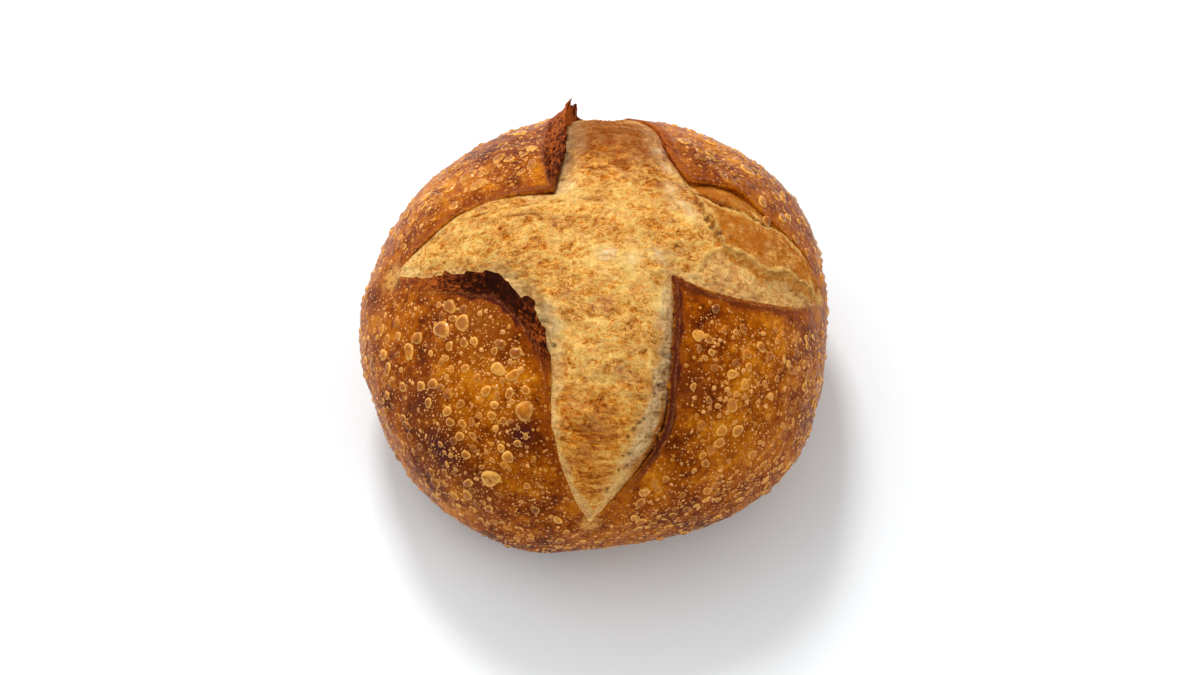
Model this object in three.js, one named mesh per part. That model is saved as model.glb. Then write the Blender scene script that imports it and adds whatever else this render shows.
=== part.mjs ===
// A round sourdough loaf: a domed, blistered crust on a small flat bottom. A cross was cut in its top, and its
// four flaps stand up as ears round the bulging crumb that tore open between them.
// Millimetres, +Z up, +X east and +Y north across the loaf, with the flat bottom at Z = 0.
import * as THREE from "three";
import { ImprovedNoise } from "three/addons/math/ImprovedNoise.js";
import { mergeGeometries, mergeVertices } from "three/addons/utils/BufferGeometryUtils.js";

// The whole loaf.
const diameter = 220;
const height = 127.8;
const bellyHeight = 47; // where the side is widest
const footShare = 0.59; // the flat bottom's width over the loaf's
const domeFullness = 2.07; // 2 is an ellipse, and more is squarer
const skirtFullness = 2.15;
// How far the plan is from round: lobes, then their share of the radius along the cosine and the sine.
const planLobes = [
  [2, 0.013, 0.019],
  [4, -0.016, -0.006],
  [5, -0.01, 0.004],
];

// The skin is laid out flat from the top of the dome, with this much of it to a radian.
const skinPerRadian = 96;
const skinToFoot = Math.PI * skinPerRadian;

// The cross on the flat skin: each point is east, north, and how far the lip stands above the dome.
const eastTip = [124, 4, 0.3];
const northTip = [8, 130, 0.3];
const westTip = [-94, 3, 0.3];
const southTip = [-4, -137, 0.3];
const northEastCorner = [35, 31, 2.5];
const northWestCorner = [-16, 24, 3];
const southWestCorner = [-35, -14, 8];
const southEastCorner = [28, -13, 2];
// The eight lips in order round the cross. groove is how deep the crumb starts below the dome beside the lip,
// and face is the width of the dark torn face on top of the lip.
const lips = [
  { groove: 1, face: 3, line: [eastTip, [105, 18, 2], [75, 26, 2.8], [54, 33, 3], northEastCorner] },
  { groove: 2, face: 4, line: [northEastCorner, [29, 48, 2.5], [26, 80, 1.4], northTip] },
  {
    groove: 2,
    face: 8,
    line: [northTip, [-9, 115, 1], [-14, 98, 6.5], [-14, 72, 5], [-14, 45, 3.5], northWestCorner],
  },
  { groove: 1.5, face: 2.5, line: [northWestCorner, [-38, 25, 1.8], [-55, 22, 1.6], [-75, 12, 1], westTip] },
  { groove: 2.5, face: 7, line: [westTip, [-76, -5, 2.5], [-60, -9, 5], [-47, -12, 7], southWestCorner] },
  {
    groove: 2,
    face: 6,
    line: [southWestCorner, [-23, -29, 6], [-18, -45, 2.5], [-19, -75, 1.2], [-14, -108, 1], southTip],
  },
  { groove: 4.5, face: 4, line: [southTip, [14, -114, 1.5], [29, -86, 2.5], [30, -50, 2.8], southEastCorner] },
  { groove: 1.5, face: 3, line: [southEastCorner, [47, -18, 1.6], [66, -19, 1.6], [100, -12, 1], eastTip] },
];
const lipUndercut = 1.4; // how far the crumb reaches in under a lip
const lipFray = 0.9; // how ragged a lip's edge is
const curlWidth = 26; // how far back from its lip a flap bends up
const curlShare = 0.55; // the share of a lip's height that the flap's bend gives

// The crumb between the flaps.
const crumbSwell = 2.4;
const northDip = { start: 50, end: 110, depth: 4.6 }; // the north arm sinks towards its tip
const crumbShoulder = 7; // how far from a lip the crumb reaches its full height
const crumbGrain = 0.9;
// The east arm tore in steps: a valley along its south lip, a broad shelf, and a strip along its north lip. The
// shelf starts on a slant, further west beside the north lip, and all three fade out towards the tip.
const steps = { start: 42, full: 50, slant: 0.5, fade: 104, end: 120 };
const valley = { northEdge: -2, depth: 3.4 };
const shelfRise = 1;
const strip = { southEdge: 21.5, rise: 1.5 };

// The skin's own unevenness: the width and height of its lumps.
const lumps = [
  { width: 34, height: 1.1 },
  { width: 13, height: 0.6 },
];
// The largest blisters: east and north on the skin, radius and height.
const blisters = [
  [-60, -27, 9, 1.5],
  [-30, -69, 7, 1.4],
  [-51, -101, 7, 1.6],
  [-84, -38, 8, 1.2],
  [62, -77, 8, 1.1],
  [55, 40, 8, 1.1],
  [-57, 48, 8, 1.1],
];

// How finely the surface is divided.
const stepsAlongLip = 18;
const stepsAcrossCrumb = 12;
const rowsBesideLip = [0, 1.5, 3.5, 6, 9.5, 14]; // distances from the lip
const rowsDownSide = 25;

const { smoothstep, lerp } = THREE.MathUtils;
const grain = new ImprovedNoise();

// ---- The smooth loaf ----

function planRadius(around) {
  const lobed = planLobes.map(([n, c, s]) => c * Math.cos(n * around) + s * Math.sin(n * around));
  return (diameter / 2) * lobed.reduce((sum, share) => sum + share, 1);
}

// Where a point of the flat skin lies on the smooth loaf: a superellipse dome over a rounder skirt.
function bodyPoint(east, north) {
  const fromTop = Math.min(Math.hypot(east, north) / skinPerRadian, Math.PI);
  const around = Math.atan2(north, east);
  const onDome = fromTop <= Math.PI / 2;
  const turn = onDome ? fromTop : Math.PI - fromTop;
  const power = 2 / (onDome ? domeFullness : skirtFullness);
  const out = Math.max(0, Math.sin(turn)) ** power;
  const up = Math.max(0, Math.cos(turn)) ** power;
  const reach = planRadius(around) * (onDome ? out : lerp(footShare, 1, out));
  const z = onDome ? lerp(bellyHeight, height, up) : bellyHeight * (1 - up);
  return new THREE.Vector3(reach * Math.cos(around), reach * Math.sin(around), z);
}

// The point of the flat skin raised by lift along the loaf's own normal.
function raised(east, north, lift) {
  const reach = 0.5;
  const alongEast = bodyPoint(east + reach, north).sub(bodyPoint(east - reach, north));
  const alongNorth = bodyPoint(east, north + reach).sub(bodyPoint(east, north - reach));
  const normal = alongEast.cross(alongNorth).normalize();
  return bodyPoint(east, north).addScaledVector(normal, lift);
}

function noiseAt(point, width) {
  return grain.noise(point.x / width, point.y / width, point.z / width);
}

// ---- The cross ----

// Every lip as evenly spaced points, each with the way into its flap and the place on the foot that it faces.
function sampleLips() {
  const points = lips.flatMap(({ line, groove, face }, order) => {
    const curve = new THREE.CatmullRomCurve3(line.map((station) => new THREE.Vector3(...station)));
    return Array.from({ length: stepsAlongLip }, (_, step) => {
      const at = curve.getPointAt(step / stepsAlongLip);
      return { east: at.x, north: at.y, lift: at.z, groove, face, order, share: step / stepsAlongLip };
    });
  });
  return points.map((point, i) => {
    const wayTo = (to, from) => new THREE.Vector2(to.east - from.east, to.north - from.north).normalize();
    const coming = wayTo(point, points.at(i - 1));
    const going = wayTo(points[(i + 1) % points.length], point);
    const along = coming.clone().add(going).normalize();
    const facing = footAzimuth(point.order + point.share);
    const foot = new THREE.Vector2(Math.cos(facing), Math.sin(facing)).multiplyScalar(skinToFoot);
    const down = foot.clone().sub(new THREE.Vector2(point.east, point.north)).normalize();
    const squareness = Math.max(0.4, (Math.abs(down.cross(coming)) + Math.abs(down.cross(going))) / 2);
    return { ...point, intoFlap: new THREE.Vector2(along.y, -along.x), foot, down, squareness };
  });
}

// The azimuth on the foot that a place on the cross faces: a tip its own, and a flap's corner halfway between.
function footAzimuth(place) {
  const tips = [eastTip, northTip, westTip, southTip].map(([east, north]) => Math.atan2(north, east));
  const arm = Math.floor(place / 2);
  const turnTo = (n) => tips[n % 4] + (tips[n % 4] < tips[0] || n === 4 ? 2 * Math.PI : 0);
  return lerp(turnTo(arm), turnTo(arm + 1), place / 2 - arm);
}

const lipPoints = sampleLips();
const lipAt = (order, step) => lipPoints[(order * stepsAlongLip + step) % lipPoints.length];

// The distance from a point of the skin to the nearest lip, and the groove there.
function nearestLip(east, north) {
  const gaps = lipPoints.map((lip) => Math.hypot(lip.east - east, lip.north - north));
  const gap = Math.min(...gaps);
  const pulls = gaps.map((each) => Math.exp((gap - each) / 3));
  const total = pulls.reduce((sum, pull) => sum + pull, 0);
  const groove = lipPoints.reduce((sum, lip, i) => sum + lip.groove * pulls[i], 0) / total;
  return { gap, groove };
}

// ---- The crust ----

function blisterHeight(east, north) {
  return blisters.reduce((sum, [x, y, radius, top]) => {
    const out = Math.hypot(east - x, north - y) / radius;
    return sum + top * Math.max(0, 1 - out * out) ** 1.5;
  }, 0);
}

// The crust's height over the smooth loaf, at a distance in from a point of its lip.
function crustHeight(lip, inward, east, north) {
  const body = bodyPoint(east, north);
  const bend = Math.max(0, 1 - inward / curlWidth) ** 2;
  const torn = Math.max(0, 1 - inward / lip.face) ** 1.5;
  const curl = lip.lift * lerp(torn, bend, curlShare);
  const lumpy = lumps.reduce((sum, { width, height: top }) => sum + top * noiseAt(body, width), 0);
  const overFoot = smoothstep(body.z, 3, 30);
  return curl + overFoot * (lumpy + blisterHeight(east, north));
}

// The skin point of a crust row: the first rows follow the lip, and the rest part the way to the foot evenly.
function crustRow(lip, row) {
  const lastBeside = rowsBesideLip.length - 1;
  const beside = rowsBesideLip[Math.min(row, lastBeside)] / lip.squareness;
  const start = new THREE.Vector2(lip.east, lip.north).addScaledVector(lip.down, beside);
  if (row <= lastBeside) return { skin: start, inward: rowsBesideLip[row] };
  const skin = start.clone().lerp(lip.foot, evenShare(start, lip.foot, (row - lastBeside) / rowsDownSide));
  return { skin, inward: skin.distanceTo(new THREE.Vector2(lip.east, lip.north)) * lip.squareness };
}

// The share of a straight way over the flat skin at which a share of its true length on the loaf has gone by.
function evenShare(from, to, share) {
  const parts = 48;
  const stops = Array.from({ length: parts + 1 }, (_, i) => {
    const at = from.clone().lerp(to, i / parts);
    return bodyPoint(at.x, at.y);
  });
  const run = [0];
  for (let i = 1; i <= parts; i++) run.push(run[i - 1] + stops[i].distanceTo(stops[i - 1]));
  const wanted = share * run[parts];
  const next = Math.max(1, run.findIndex((length) => length >= wanted - 1e-9));
  return (next - 1 + (wanted - run[next - 1]) / (run[next] - run[next - 1])) / parts;
}

function crustPoint(column, row) {
  const lip = lipPoints[column % lipPoints.length];
  const { skin, inward } = crustRow(lip, row);
  if (row === rowsBesideLip.length - 1 + rowsDownSide) return bodyPoint(lip.foot.x, lip.foot.y);
  if (row > 0) return raised(skin.x, skin.y, crustHeight(lip, inward, skin.x, skin.y));
  const fray = lipFray * noiseAt(new THREE.Vector3(lip.east, lip.north, 0), 5) * smoothstep(lip.lift, 1, 4);
  const edge = skin.addScaledVector(lip.intoFlap, fray);
  return raised(edge.x, edge.y, crustHeight(lip, 0, edge.x, edge.y) + fray);
}

// ---- The crumb ----

function eastSteps(east, north) {
  const out = east + steps.slant * Math.max(0, north);
  const inArm = smoothstep(out, steps.start, steps.full) * (1 - smoothstep(east, steps.fade, steps.end));
  const ragged = north + 2.5 * grain.noise(east / 9, 0.5, 0.5);
  const onShelf = smoothstep(ragged, valley.northEdge - 2, valley.northEdge + 1);
  const onStrip = smoothstep(ragged, strip.southEdge - 1.5, strip.southEdge + 1.5);
  return inArm * (lerp(-valley.depth, shelfRise, onShelf) + strip.rise * onStrip);
}

function crumbPoint(east, north) {
  const { gap, groove } = nearestLip(east, north);
  const full = 1 - Math.exp(-((gap / crumbShoulder) ** 2));
  const swell = crumbSwell - northDip.depth * smoothstep(north, northDip.start, northDip.end);
  const fibres = crumbGrain * grain.noise(east / 7, north / 7, 3.5);
  return raised(east, north, lerp(-groove, swell + fibres + eastSteps(east, north), full));
}

// The crumb's edge, tucked in under the lip.
function crumbEdge(lip) {
  const tuck = lipUndercut * smoothstep(lip.lift, 0.5, 3);
  const skin = new THREE.Vector2(lip.east, lip.north).addScaledVector(lip.intoFlap, tuck);
  return raised(skin.x, skin.y, -lip.groove);
}

// Shares of the way across a slash, closer together by its lips.
function shareAcross(step) {
  const even = step / stepsAcrossCrumb;
  return lerp(even, (1 - Math.cos(Math.PI * even)) / 2, 0.7);
}

// One arm of the crumb, from the middle of the cross out to its tip, between the lips on its two sides.
function armPoint(arm, column, row) {
  const right = lipAt((2 * arm + 7) % 8, row);
  const left = lipAt(2 * arm, stepsAlongLip - row);
  if (row === stepsAlongLip || column === 0) return crumbEdge(right);
  if (column === stepsAcrossCrumb) return crumbEdge(left);
  const share = shareAcross(column);
  return crumbPoint(lerp(right.east, left.east, share), lerp(right.north, left.north, share));
}

// The middle of the cross, between the four corners of the flaps.
function middlePoint(column, row) {
  const [southWest, southEast, northWest, northEast] = [lipAt(5, 0), lipAt(7, 0), lipAt(3, 0), lipAt(1, 0)];
  const atEnd = (step) => step === 0 || step === stepsAcrossCrumb;
  if (atEnd(column) && atEnd(row)) {
    const [south, north] = row ? [southEast, northEast] : [southWest, northWest];
    return crumbEdge(column ? north : south);
  }
  const [toEast, toNorth] = [shareAcross(row), shareAcross(column)];
  const mix = (key) =>
    lerp(lerp(southWest[key], southEast[key], toEast), lerp(northWest[key], northEast[key], toEast), toNorth);
  return crumbPoint(mix("east"), mix("north"));
}

// ---- The solid ----

// A sheet of triangles whose points are a function of their column and row.
function sheet(columns, rows, pointAt) {
  const geometry = new THREE.PlaneGeometry(1, 1, columns, rows);
  const places = geometry.getAttribute("position");
  for (let i = 0; i < places.count; i++) {
    const { x, y, z } = pointAt(i % (columns + 1), Math.floor(i / (columns + 1)));
    places.setXYZ(i, x, y, z);
  }
  geometry.deleteAttribute("normal");
  geometry.deleteAttribute("uv");
  return geometry;
}

// The sheets joined along their shared edges, without the triangles that a tip squeezes flat.
function joined(sheets) {
  const geometry = mergeVertices(mergeGeometries(sheets), 1e-3);
  const corners = Array.from(geometry.index.array);
  const kept = [];
  for (let i = 0; i < corners.length; i += 3) {
    const triangle = corners.slice(i, i + 3);
    if (new Set(triangle).size === 3) kept.push(...triangle);
  }
  geometry.setIndex(kept);
  return geometry;
}

function loafGeometry() {
  const round = lipPoints.length;
  const lastRow = rowsBesideLip.length - 1 + rowsDownSide;
  const geometry = joined([
    sheet(round, lastRow, crustPoint),
    sheet(round, 1, (column, row) => (row ? crustPoint(column, 0) : crumbEdge(lipPoints[column % round]))),
    ...[0, 1, 2, 3].map((arm) =>
      sheet(stepsAcrossCrumb, stepsAlongLip, (column, row) => armPoint(arm, column, row)),
    ),
    sheet(stepsAcrossCrumb, stepsAcrossCrumb, middlePoint),
    sheet(round, 1, (column, row) => (row ? new THREE.Vector3() : crustPoint(column, lastRow))),
  ]);
  geometry.computeBoundingBox();
  const middle = geometry.boundingBox.getCenter(new THREE.Vector3());
  geometry.translate(-middle.x, -middle.y, 0);
  geometry.computeVertexNormals();
  return geometry;
}

const crust = new THREE.MeshStandardMaterial({ color: 0xa9632a, roughness: 0.55, metalness: 0 });
const loaf = new THREE.Mesh(loafGeometry(), crust);
loaf.name = "loaf";

const group = new THREE.Group();
group.add(loaf);
export default group;
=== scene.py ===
import math
import bmesh
import bpy
import numpy as np
from mathutils import Matrix, Vector


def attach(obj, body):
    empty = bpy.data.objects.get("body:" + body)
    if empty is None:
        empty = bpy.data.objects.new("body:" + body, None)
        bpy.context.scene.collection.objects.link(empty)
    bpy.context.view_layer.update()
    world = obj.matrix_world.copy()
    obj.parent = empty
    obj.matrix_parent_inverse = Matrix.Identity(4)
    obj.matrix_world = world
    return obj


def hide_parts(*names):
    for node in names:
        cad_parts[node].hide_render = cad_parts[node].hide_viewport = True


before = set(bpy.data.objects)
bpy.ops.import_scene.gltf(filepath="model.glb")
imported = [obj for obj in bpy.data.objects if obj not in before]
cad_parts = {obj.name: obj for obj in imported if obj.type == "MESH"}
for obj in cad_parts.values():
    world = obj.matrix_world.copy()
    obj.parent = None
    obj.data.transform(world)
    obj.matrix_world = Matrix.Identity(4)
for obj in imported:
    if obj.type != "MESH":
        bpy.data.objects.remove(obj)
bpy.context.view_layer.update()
mm = 0.001
rng = np.random.default_rng(7)

# The loaf's form, in millimetres, as the solid has it. Its skin is laid out flat from the top of the dome,
# and a place on the skin is how far it is east and how far north.
loaf = {
    "diameter": 220,
    "height": 127.8,
    "bellyHeight": 47,  # where the side is widest
    "footShare": 0.59,  # the flat bottom's width over the loaf's
    "domeFullness": 2.07,  # 2 is an ellipse, more is squarer
    "skirtFullness": 2.15,
    "planLobes": [(2, 0.013, 0.019), (4, -0.016, -0.006), (5, -0.01, 0.004)],  # lobes, cosine and sine share
    "skinPerRadian": 96,
}
skinToFoot = math.pi * loaf["skinPerRadian"]

# A place on a lip: east, north, then how the lip is there: lift, width of its torn face, how burnt it is,
# how deep the crumb starts beside it, and width of the bare crumb there.
stationKeys = ("east", "north", "lift", "face", "burn", "groove", "pale")
eastTip = (124, 4, 0, 1.2, 0.1, 0, 2)
northTip = (8, 130, 0, 2, 0.2, 0, 3)
westTip = (-94, 3, 0, 2, 0.05, 0, 4)
southTip = (-4, -137, 0, 1.2, 0, 0, 6)
northEastCorner = (35, 31, 1.6, 2.5, 0.25, 0.6, 5)
northWestCorner = (-16, 24, 2.5, 3, 0.7, 1, 5)
southWestCorner = (-35, -14, 9, 7.5, 1.5, 2, 5)
southEastCorner = (28, -13, 1.8, 2, 0.8, 1.2, 5)

# The eight lips in order round the cross, counterclockwise from the east arm's tip.
lips = [
    [eastTip, (105, 18, 0.6, 1.2, 0.2, 0.3, 1), (75, 26, 1, 1.5, 0.22, 0.4, 1),
     (54, 33, 1.6, 2, 0.25, 0.5, 1), northEastCorner],
    [northEastCorner, (29, 48, 2.2, 4, 0.2, 1, 9), (26, 80, 1.4, 4, 0.2, 1, 8), northTip],
    [northTip, (-9, 115, 1, 4, 0.6, 0.6, 5), (-14, 98, 6.5, 8, 0.4, 1.5, 7), (-14, 72, 5, 9, 0.5, 2, 8),
     (-14, 45, 3.5, 8, 0.8, 2, 9), northWestCorner],
    [northWestCorner, (-38, 25, 0.8, 1.2, 0.5, 0.1, 1), (-55, 22, 0.5, 1, 0.4, 0, 1),
     (-75, 12, 0.3, 1, 0.25, 0, 2), westTip],
    [westTip, (-76, -5, 1.8, 5, 0.3, 0.3, 5), (-60, -9, 4.8, 7, 0.6, 1, 5), (-47, -12, 7, 7.5, 1, 1.6, 5),
     southWestCorner],
    [southWestCorner, (-23, -29, 6, 6, 1, 2, 7), (-18, -45, 2.2, 4, 0.7, 1.2, 6),
     (-19, -75, 0.7, 1.2, 0.35, 0.3, 3.5), (-14, -108, 0.5, 1, 0.25, 0.2, 3), southTip],
    [southTip, (14, -114, 0.9, 1.4, 0.5, 1.5, 11), (29, -86, 2.4, 2.8, 1, 4, 15),
     (30, -50, 2.8, 2.4, 1, 3.5, 6.5), southEastCorner],
    [southEastCorner, (47, -18, 1.3, 1.5, 0.7, 1, 3), (66, -19, 1.3, 1.5, 0.7, 1.2, 3),
     (100, -12, 0.7, 1.2, 0.5, 0.8, 3), eastTip],
]


def smooth(value, low, high):  # 0 up to low, 1 from high, eased between
    share = np.clip((value - low) / (high - low), 0, 1)
    return share * share * (3 - 2 * share)


def hump(away, width, power=2):  # 1 at nought, falling off over the width
    return np.exp(-(away / width) ** power)


def span(run, start, end):  # 1 along a run from 0 to 1, eased to 0 at both its ends
    return smooth(run, 0, start) * (1 - smooth(run, end, 1))


def lerp(a, b, share):
    return a + (b - a) * share


def unit(ways):
    return ways / np.linalg.norm(ways, axis=-1, keepdims=True)


noiseTable = rng.uniform(-1, 1, 4096)
noisePrimes = (73856093, 19349663, 83492791)  # they scatter a cell's three numbers over the table


def noiseAt(points, width, octaves=1):  # smooth noise from -1 to 1
    total, size, strength = 0, 0, 1
    for octave in range(octaves):
        at = np.asarray(points, float) * (2 ** octave / width) + 31.7 * octave  # another part for each octave
        cell = np.floor(at).astype(np.int64)
        part = at - cell
        part = part * part * (3 - 2 * part)
        for corner in np.ndindex(2, 2, 2):
            x, y, z = np.moveaxis((cell + np.array(corner)) * noisePrimes, -1, 0)
            picked = noiseTable[(x ^ y ^ z) % len(noiseTable)]
            weights = np.where(np.array(corner) == 1, part, 1 - part)
            total = total + strength * picked * weights.prod(-1)
        size += strength
        strength *= 0.5
    return total / size


def planRadius(around):
    lobed = sum(c * np.cos(n * around) + s * np.sin(n * around) for n, c, s in loaf["planLobes"])
    return loaf["diameter"] / 2 * (1 + lobed)


def bodyPoint(skin):  # where places on the flat skin lie on the smooth loaf
    east, north = skin[..., 0], skin[..., 1]
    fromTop = np.minimum(np.hypot(east, north) / loaf["skinPerRadian"], math.pi)
    around = np.arctan2(north, east)
    onDome = fromTop <= math.pi / 2
    turn = np.where(onDome, fromTop, math.pi - fromTop)
    power = np.where(onDome, 2 / loaf["domeFullness"], 2 / loaf["skirtFullness"])
    out = np.maximum(np.sin(turn), 0) ** power
    up = np.maximum(np.cos(turn), 0) ** power
    reach = planRadius(around) * np.where(onDome, out, lerp(loaf["footShare"], 1, out))
    z = np.where(onDome, lerp(loaf["bellyHeight"], loaf["height"], up), loaf["bellyHeight"] * (1 - up))
    return np.stack([reach * np.cos(around), reach * np.sin(around), z], -1)


def slopes(skin):  # how the smooth loaf runs for a millimetre east on the flat skin, and for one north
    half = 0.5
    alongEast = bodyPoint(skin + (half, 0)) - bodyPoint(skin - (half, 0))
    alongNorth = bodyPoint(skin + (0, half)) - bodyPoint(skin - (0, half))
    return alongEast, alongNorth


def bodyNormal(skin):
    return unit(np.cross(*slopes(skin)))


def raised(skin, lift):
    return bodyPoint(skin) + bodyNormal(skin) * np.asarray(lift)[..., None]


def awayFrom(skin, east, north):
    return np.hypot(skin[..., 0] - east, skin[..., 1] - north)


def flatPoint(skin):  # a place on the skin as a point that noise can be read at
    return np.stack([skin[..., 0], skin[..., 1], 0 * skin[..., 0]], -1)


lipDetail = {
    "steps": 168,  # along each lip
    "columnStride": 2,  # every second step goes on down the side
    "cornerSteps": 6,  # this near a corner both sides count as equally square to the way down
    "leastSquare": 0.4,
    "fray": 1.3,
    "frayWidths": (6, 2.2),
    "spike": 6,
    "spikeWidth": 3.1,
    "undercut": 1.6,
    "blend": 1.5,  # over this distance a place takes the values of the lips round it
}


def curveThrough(stations, count):  # evenly spaced places on a smooth curve through the stations
    p = np.array(stations, float)
    p = np.vstack([2 * p[0] - p[1], p, 2 * p[-1] - p[-2]])
    gap = np.linalg.norm(np.diff(p, axis=0), axis=1) ** 0.5
    t = np.linspace(0, 1, 60, endpoint=False)[:, None]
    parts = []
    for i in range(1, len(p) - 2):
        a, b, c = gap[i - 1:i + 2]
        leave = ((p[i] - p[i - 1]) / a - (p[i + 1] - p[i - 1]) / (a + b)) * b + p[i + 1] - p[i]
        arrive = ((p[i + 2] - p[i + 1]) / c - (p[i + 2] - p[i]) / (b + c)) * b + p[i + 1] - p[i]
        rise = p[i + 1] - p[i]
        squared, cubed = 3 * rise - 2 * leave - arrive, leave + arrive - 2 * rise
        parts.append(p[i] + leave * t + squared * t ** 2 + cubed * t ** 3)
    fine = np.vstack(parts + [p[-2:-1]])
    run = np.append(0, np.cumsum(np.linalg.norm(np.diff(fine, axis=0), axis=1)))
    wanted = np.linspace(0, run[-1], count, endpoint=False)
    return np.stack([np.interp(wanted, run, fine[:, k]) for k in range(p.shape[1])], 1)


def makeLipRing():  # the eight lips as one closed line, with each lip's values at every step
    steps = lipDetail["steps"]
    stations = np.vstack([curveThrough(line, steps) for line in lips])
    for _ in range(3):  # round the corners a little
        stations = (np.roll(stations, 1, 0) + 2 * stations + np.roll(stations, -1, 0)) / 4
    ring = {key: stations[:, i].copy() for i, key in enumerate(stationKeys)}
    ring["skin"] = stations[:, :2].copy()
    along = np.roll(ring["skin"], -1, 0) - np.roll(ring["skin"], 1, 0)
    ring["run"] = np.cumsum(np.linalg.norm(along, axis=1)) / 2
    along = unit(along)
    ring["intoFlap"] = np.stack([along[:, 1], -along[:, 0]], 1)
    tips = np.unwrap([math.atan2(tip[1], tip[0]) for tip in (eastTip, northTip, westTip, southTip, eastTip)])
    facing = np.interp(np.arange(len(along)) / steps, [0, 2, 4, 6, 8], tips)
    ring["foot"] = skinToFoot * np.stack([np.cos(facing), np.sin(facing)], 1)
    ring["down"] = unit(ring["foot"] - ring["skin"])
    square = np.abs(ring["down"][:, 0] * along[:, 1] - ring["down"][:, 1] * along[:, 0])
    cornerSteps = lipDetail["cornerSteps"]
    for corner in np.arange(1, 8, 2) * steps:  # at a flap's corner the two sides' own value holds
        near = (corner + np.arange(-cornerSteps, cornerSteps + 1)) % len(square)
        square[near] = (square[near[0]] + square[near[-1]]) / 2
    ring["square"] = np.maximum(square, lipDetail["leastSquare"])
    ring["lift"] = np.maximum(ring["lift"], 0)
    ring["ear"] = smooth(ring["face"], 2.6, 4.5) * smooth(ring["lift"], 0.8, 2)
    line = ring["run"][:, None] * (1.0, 0, 0)
    wide, narrow = lipDetail["frayWidths"]
    ragged = noiseAt(line, wide) + 0.7 * noiseAt(line + 90, narrow)
    spikes = np.maximum(0, noiseAt(line + 300, lipDetail["spikeWidth"]) - 0.25)
    ring["fray"] = smooth(ring["lift"], 0.8, 4) * (lipDetail["fray"] * ragged + lipDetail["spike"] * spikes)
    return ring


ring = makeLipRing()
nearKeys = ("lift", "face", "burn", "groove", "pale", "ear", "run")
print("lips", len(lips), "steps", len(ring["skin"]), "round", round(ring["run"][-1]), "mm")


def nearLip(skin):  # distance to the nearest lip, and that lip's values
    flat = skin.reshape(-1, 2).astype(np.float32)
    lipPlaces = ring["skin"].astype(np.float32)
    values = np.stack([ring[key] for key in nearKeys], 1).astype(np.float32)
    some = slice(None, None, 4)
    chunk = 2048
    gaps, found = [], []
    for start in range(0, len(flat), chunk):
        part = flat[start:start + chunk]
        away = (part ** 2).sum(1)[:, None] + (lipPlaces ** 2).sum(1) - 2 * part @ lipPlaces.T
        nearest = away.argmin(1)
        gap = np.linalg.norm(part - lipPlaces[nearest], axis=1)
        pull = np.exp((gap[:, None] - np.sqrt(np.maximum(away[:, some], 0))) / lipDetail["blend"])
        each = pull @ values[some] / pull.sum(1, keepdims=True)
        each[:, -1] = values[nearest, -1]  # the run along the lip isn't blended
        gaps.append(gap)
        found.append(each)
    shape = skin.shape[:-1]
    found = np.vstack(found)
    near = {key: found[:, i].reshape(shape).astype(float) for i, key in enumerate(nearKeys)}
    return np.concatenate(gaps).reshape(shape).astype(float), near


def armSteps(arm):  # the ring's steps along an arm's right lip and its left one, from the middle outwards
    steps = lipDetail["steps"]
    along = np.arange(steps + 1)
    total = len(lips) * steps
    return ((2 * arm + 7) * steps + along) % total, ((2 * arm + 1) * steps - along) % total


crustShape = {
    "curlWidth": 26,  # how far back from its lip a flap bends up
    "curlShare": 0.5,  # the share of a lip's height that the bend gives
    "tornReach": 1.2,  # how far past its torn face an ear falls away
    "tornPower": 1.2,
    "rollWidth": 0.9,  # how far a low lip rolls over at its edge
    "rollShare": 0.55,
    "rimHeight": 0.5,
    "rimWidth": 0.6,
    "faceEdge": 0.8,
    "faceGrain": 0.7,
    "faceCalm": 0.7,  # the share of the lumps that a torn face lacks
    "lumps": [(34, 1.1), (13, 0.7), (5, 0.34), (2.4, 0.12)],  # width, height
    "lumpyFrom": (2, 24),  # lumps grow over these heights of the loaf
    "besideRows": (0, 0.4, 0.9, 1.4, 1.9, 2.5, 3.1, 3.8, 4.5, 5.2, 6, 6.8, 7.6, 8.5, 9.4, 10.4),
    "frayOut": 0.8,  # how far over the crumb a frayed edge reaches, over its height
    "frayBehind": 0.35,  # how much of it the row behind takes
    "domeRows": 70,
    "skirtRows": 25,
    "baseRows": (0.97, 0.92, 0.8, 0.62, 0.4, 0.18, 0.04),  # over the foot's own width
    "baseLumps": (14, 0.25),  # width, height
    "wallRows": 6,
    "wallDepth": 7,
    "wallGrain": (1.5, 0.3),
    "lowBurn": (2.5, 6.5),  # from where to where the burnt band beside a low lip fades
    "earBurn": (0.3, 3),  # and past an ear's torn face
    "paleTips": [(-4, -139, 6), (-96, 3, 7), (124, 4, 4)],  # east, north, radius
    # east, north, radius, strength
    "darkSpots": [(-44, -31, 16, 0.55), (-33, -80, 7, 1.2), (-75, -85, 12, 1.1), (-78, -61, 9, 0.8),
                  (-92, -102, 10, 0.7), (-112, -2, 9, 0.7), (-60, -108, 12, 0.5), (38, -60, 8, 0.5),
                  (-44, -19, 5, 0.7), (120, -60, 14, 0.5), (30, 120, 12, 0.5), (-30, 128, 12, 0.4),
                  (110, 70, 14, 0.5)],
    "goldSpots": [(-50, -29, 7, 0.8), (-66, -44, 9, 0.5), (-30, -34, 6, 0.6), (-45, -68, 12, 0.6),
                  (52, -40, 14, 0.5), (55, -75, 12, 0.5), (60, 42, 12, 0.5), (-50, 42, 12, 0.6),
                  (-55, -100, 9, 0.5), (20, -125, 10, 0.5), (-42, 70, 14, 0.5), (90, -50, 14, 0.5)],
}


def onTornFace(gap, near):
    return near["ear"] * (1 - smooth(gap, near["face"] - crustShape["faceEdge"], near["face"]))


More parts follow.
